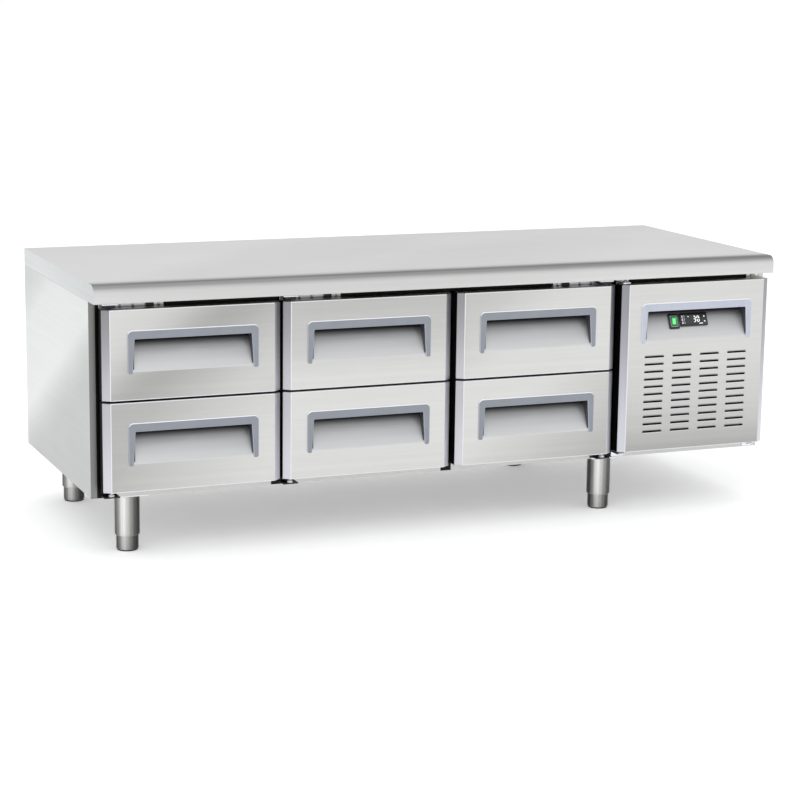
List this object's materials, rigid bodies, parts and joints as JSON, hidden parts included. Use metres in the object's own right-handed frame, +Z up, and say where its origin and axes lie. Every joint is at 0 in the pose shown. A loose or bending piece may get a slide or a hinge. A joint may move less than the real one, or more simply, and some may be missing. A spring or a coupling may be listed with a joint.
{
  "type": "under counter fridge",
  "caption": "Low refrigerated counter on adjustable legs, with stacked telescopic drawers and a hinged louvred panel over its condensing unit.",
  "frame": {"origin": "on the floor under the middle of the worktop", "axes": "+Z up, +X along the worktop's length towards the machine bay, the drawers open towards -Y"},
  "size_m": [1.795, 0.7, 0.65],
  "materials": {
    "worktop_steel": "satin",
    "casing_steel": "satin",
    "front_steel": "satin",
    "liner_steel": "satin",
    "drawer_steel": "satin",
    "slide_steel": "satin",
    "hinge_metal": "satin",
    "leg_steel": "satin",
    "foot_steel": "satin",
    "handle_plastic": "satin",
    "panel_handle_plastic": "satin",
    "gasket": "matte",
    "foam": "matte",
    "controller_plastic": "satin",
    "key_plastic": "satin",
    "switch_plastic": "satin",
    "rocker_plastic": "gloss",
    "coil_aluminium": "satin",
    "fan_aluminium": "satin",
    "fan_plastic": "matte",
    "compressor_paint": "satin",
    "copper": "satin",
    "tray_plastic": "matte",
    "cord_rubber": "matte"
  },
  "bodies": {
    "cabinet": {"worktop": "worktop_steel", "cabinet_casing": "casing_steel", "front_frame": "casing_steel", "insulation_foam": "foam", "inner_liner": "liner_steel", "slide_racks": "slide_steel", "hinge_brackets": "hinge_metal", "leg_sleeves": "leg_steel", "machine_side_panel": "casing_steel", "rear_grille": "casing_steel", "evaporator_coil": "coil_aluminium", "evaporator_fan_duct": "liner_steel", "compressor": "compressor_paint", "condenser_coil": "coil_aluminium", "refrigerant_lines": "copper", "condensate_tray": "tray_plastic", "power_cord": "cord_rubber"},
    "drawer_upper_left": {"drawer_front_upper_left": "front_steel", "drawer_handle_upper_left": "handle_plastic", "drawer_gasket_upper_left": "gasket", "drawer_frame_upper_left": "drawer_steel"},
    "middle_slide_upper_left": {"middle_slides_upper_left": "slide_steel"},
    "drawer_upper_middle": {"drawer_front_upper_middle": "front_steel", "drawer_handle_upper_middle": "handle_plastic", "drawer_gasket_upper_middle": "gasket", "drawer_frame_upper_middle": "drawer_steel"},
    "middle_slide_upper_middle": {"middle_slides_upper_middle": "slide_steel"},
    "drawer_upper_right": {"drawer_front_upper_right": "front_steel", "drawer_handle_upper_right": "handle_plastic", "drawer_gasket_upper_right": "gasket", "drawer_frame_upper_right": "drawer_steel"},
    "middle_slide_upper_right": {"middle_slides_upper_right": "slide_steel"},
    "drawer_lower_left": {"drawer_front_lower_left": "front_steel", "drawer_handle_lower_left": "handle_plastic", "drawer_gasket_lower_left": "gasket", "drawer_frame_lower_left": "drawer_steel"},
    "middle_slide_lower_left": {"middle_slides_lower_left": "slide_steel"},
    "drawer_lower_middle": {"drawer_front_lower_middle": "front_steel", "drawer_handle_lower_middle": "handle_plastic", "drawer_gasket_lower_middle": "gasket", "drawer_frame_lower_middle": "drawer_steel"},
    "middle_slide_lower_middle": {"middle_slides_lower_middle": "slide_steel"},
    "drawer_lower_right": {"drawer_front_lower_right": "front_steel", "drawer_handle_lower_right": "handle_plastic", "drawer_gasket_lower_right": "gasket", "drawer_frame_lower_right": "drawer_steel"},
    "middle_slide_lower_right": {"middle_slides_lower_right": "slide_steel"},
    "machine_door": {"machine_panel": "front_steel", "machine_panel_handle": "panel_handle_plastic", "controller_body": "controller_plastic", "switch_bezel": "switch_plastic"},
    "up_key": {"key_up": "key_plastic"},
    "down_key": {"key_down": "key_plastic"},
    "power_rocker": {"switch_rocker": "rocker_plastic"},
    "evaporator_fan": {"evaporator_fan_blade": "fan_plastic"},
    "condenser_fan": {"condenser_fan_blade": "fan_aluminium"},
    "adjustable_foot_front_left": {"foot_front_left": "foot_steel"},
    "adjustable_foot_front_right": {"foot_front_right": "foot_steel"},
    "adjustable_foot_rear_left": {"foot_rear_left": "foot_steel"},
    "adjustable_foot_rear_right": {"foot_rear_right": "foot_steel"}
  },
  "joints": [
    {"name": "drawer_upper_left_travel", "type": "slide", "parent": "cabinet", "child": "drawer_upper_left", "axis": [0, -1, 0], "range_m": [0, 0.53]},
    {"name": "middle_slide_upper_left_travel", "type": "slide", "parent": "cabinet", "child": "middle_slide_upper_left", "axis": [0, -1, 0], "range_m": [0, 0.265]},
    {"name": "drawer_upper_middle_travel", "type": "slide", "parent": "cabinet", "child": "drawer_upper_middle", "axis": [0, -1, 0], "range_m": [0, 0.53]},
    {"name": "middle_slide_upper_middle_travel", "type": "slide", "parent": "cabinet", "child": "middle_slide_upper_middle", "axis": [0, -1, 0], "range_m": [0, 0.265]},
    {"name": "drawer_upper_right_travel", "type": "slide", "parent": "cabinet", "child": "drawer_upper_right", "axis": [0, -1, 0], "range_m": [0, 0.53]},
    {"name": "middle_slide_upper_right_travel", "type": "slide", "parent": "cabinet", "child": "middle_slide_upper_right", "axis": [0, -1, 0], "range_m": [0, 0.265]},
    {"name": "drawer_lower_left_travel", "type": "slide", "parent": "cabinet", "child": "drawer_lower_left", "axis": [0, -1, 0], "range_m": [0, 0.53]},
    {"name": "middle_slide_lower_left_travel", "type": "slide", "parent": "cabinet", "child": "middle_slide_lower_left", "axis": [0, -1, 0], "range_m": [0, 0.265]},
    {"name": "drawer_lower_middle_travel", "type": "slide", "parent": "cabinet", "child": "drawer_lower_middle", "axis": [0, -1, 0], "range_m": [0, 0.53]},
    {"name": "middle_slide_lower_middle_travel", "type": "slide", "parent": "cabinet", "child": "middle_slide_lower_middle", "axis": [0, -1, 0], "range_m": [0, 0.265]},
    {"name": "drawer_lower_right_travel", "type": "slide", "parent": "cabinet", "child": "drawer_lower_right", "axis": [0, -1, 0], "range_m": [0, 0.53]},
    {"name": "middle_slide_lower_right_travel", "type": "slide", "parent": "cabinet", "child": "middle_slide_lower_right", "axis": [0, -1, 0], "range_m": [0, 0.265]},
    {"name": "machine_door_hinge", "type": "hinge", "parent": "cabinet", "child": "machine_door", "pos_m": [0.4775, -0.331, 0.375], "axis": [0, 0, -1], "range_deg": [0, 90]},
    {"name": "up_key_press", "type": "slide", "parent": "machine_door", "child": "up_key", "axis": [0, 0.9105, -0.4136], "range_m": [0, 0.001], "stiffness_N_per_m": 50, "springref_m": -0.0005},
    {"name": "down_key_press", "type": "slide", "parent": "machine_door", "child": "down_key", "axis": [0, 0.9105, -0.4136], "range_m": [0, 0.001], "stiffness_N_per_m": 50, "springref_m": -0.0005},
    {"name": "power_rocker_tilt", "type": "hinge", "parent": "machine_door", "child": "power_rocker", "pos_m": [0.6215, -0.32859, 0.4893], "axis": [1, 0, 0], "range_deg": [-16, 0]},
    {"name": "evaporator_fan_spin", "type": "hinge", "parent": "cabinet", "child": "evaporator_fan", "pos_m": [0.442, -0.18, 0.375], "axis": [1, 0, 0], "continuous": true},
    {"name": "condenser_fan_spin", "type": "hinge", "parent": "cabinet", "child": "condenser_fan", "pos_m": [0.7205, -0.212, 0.29], "axis": [0, 1, 0], "continuous": true},
    {"name": "foot_front_left_height", "type": "slide", "parent": "cabinet", "child": "adjustable_foot_front_left", "axis": [0, 0, -1], "range_m": [0, 0.05]},
    {"name": "foot_front_right_height", "type": "slide", "parent": "cabinet", "child": "adjustable_foot_front_right", "axis": [0, 0, -1], "range_m": [0, 0.05]},
    {"name": "foot_rear_left_height", "type": "slide", "parent": "cabinet", "child": "adjustable_foot_rear_left", "axis": [0, 0, -1], "range_m": [0, 0.05]},
    {"name": "foot_rear_right_height", "type": "slide", "parent": "cabinet", "child": "adjustable_foot_rear_right", "axis": [0, 0, -1], "range_m": [0, 0.05]}
  ],
  "couplings": [
    {"joint": "middle_slide_upper_left_travel", "follows": "drawer_upper_left_travel", "ratio": 0.5},
    {"joint": "middle_slide_upper_middle_travel", "follows": "drawer_upper_middle_travel", "ratio": 0.5},
    {"joint": "middle_slide_upper_right_travel", "follows": "drawer_upper_right_travel", "ratio": 0.5},
    {"joint": "middle_slide_lower_left_travel", "follows": "drawer_lower_left_travel", "ratio": 0.5},
    {"joint": "middle_slide_lower_middle_travel", "follows": "drawer_lower_middle_travel", "ratio": 0.5},
    {"joint": "middle_slide_lower_right_travel", "follows": "drawer_lower_right_travel", "ratio": 0.5}
  ]
}
